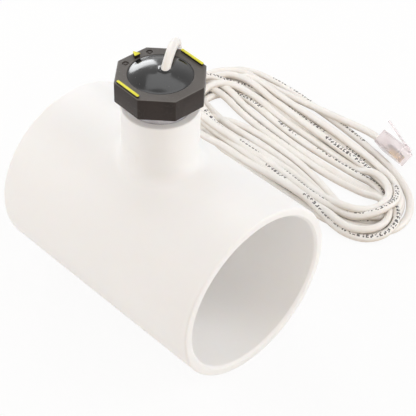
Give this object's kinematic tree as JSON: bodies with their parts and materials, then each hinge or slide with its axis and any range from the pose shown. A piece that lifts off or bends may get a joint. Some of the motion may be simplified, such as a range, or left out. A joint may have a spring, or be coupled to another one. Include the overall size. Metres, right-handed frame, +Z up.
{
  "type": "paddle flow switch in pipe tee",
  "caption": "Paddle flow switch screwed into the branch of a white plastic pipe tee, with a potted reed contact, a hinged paddle in the run, and a coiled cable that ends in a modular plug.",
  "frame": {"origin": "on the floor under the crossing of the tee's run axis and branch axis", "axes": "+X along the run towards the inlet socket, so flow is towards -X; +Y towards the hank of cable; +Z up along the branch"},
  "size_m": [0.1372, 0.1683, 0.1078],
  "materials": {
    "white_pipe": "moulded, slightly glossy",
    "sealing_tape": "thin wound film",
    "black_moulding": "satin",
    "yellow_paint": "painted",
    "black_potting": "cast, glossy",
    "magnet": "plated",
    "paddle_moulding": "satin",
    "pin_steel": "ground",
    "reed_glass": "clear, green tint",
    "reed_metal": "bright",
    "sleeve": "shrunk",
    "wire_red": "satin",
    "wire_green": "satin",
    "wire_black": "satin",
    "wire_yellow": "satin",
    "cable_jacket": "satin",
    "clear_plug": "clear",
    "contact_gold": "plated"
  },
  "bodies": {
    "tee_and_switch": {"tee_body": "white_pipe", "thread_tape": "sealing_tape", "switch_housing": "black_moulding", "flow_mark_paint": "yellow_paint", "potting_dome": "black_potting", "return_magnet": "magnet", "pivot_pin": "pin_steel", "reed_glass": "reed_glass", "reed_blade_upper": "reed_metal", "reed_blade_lower": "reed_metal", "solder_sleeves": "sleeve", "head_wire_red": "wire_red", "head_wire_green": "wire_green", "cable_lead": "cable_jacket", "cable_hank": "cable_jacket", "cable_tail": "cable_jacket", "plug_body": "clear_plug", "plug_strain_bar": "clear_plug", "plug_contacts": "contact_gold", "plug_wire_black": "wire_black", "plug_wire_red": "wire_red", "plug_wire_green": "wire_green", "plug_wire_yellow": "wire_yellow"},
    "paddle": {"paddle": "paddle_moulding", "paddle_magnet": "magnet"},
    "latch": {"plug_latch": "clear_plug"}
  },
  "joints": [
    {"name": "paddle_swing", "type": "hinge", "parent": "tee_and_switch", "child": "paddle", "pos_m": [0, 0, 0.056], "axis": [0.0523, 0.9986, 0], "range_deg": [0, 35], "stiffness_Nm_per_rad": 0.004, "springref_deg": -5.73},
    {"name": "latch_squeeze", "type": "hinge", "parent": "tee_and_switch", "child": "latch", "pos_m": [0.01587, 0.12796, 0.00815], "axis": [-0.0848, -0.5673, 0.8191], "range_deg": [0, 12], "stiffness_Nm_per_rad": 0.1}
  ]
}
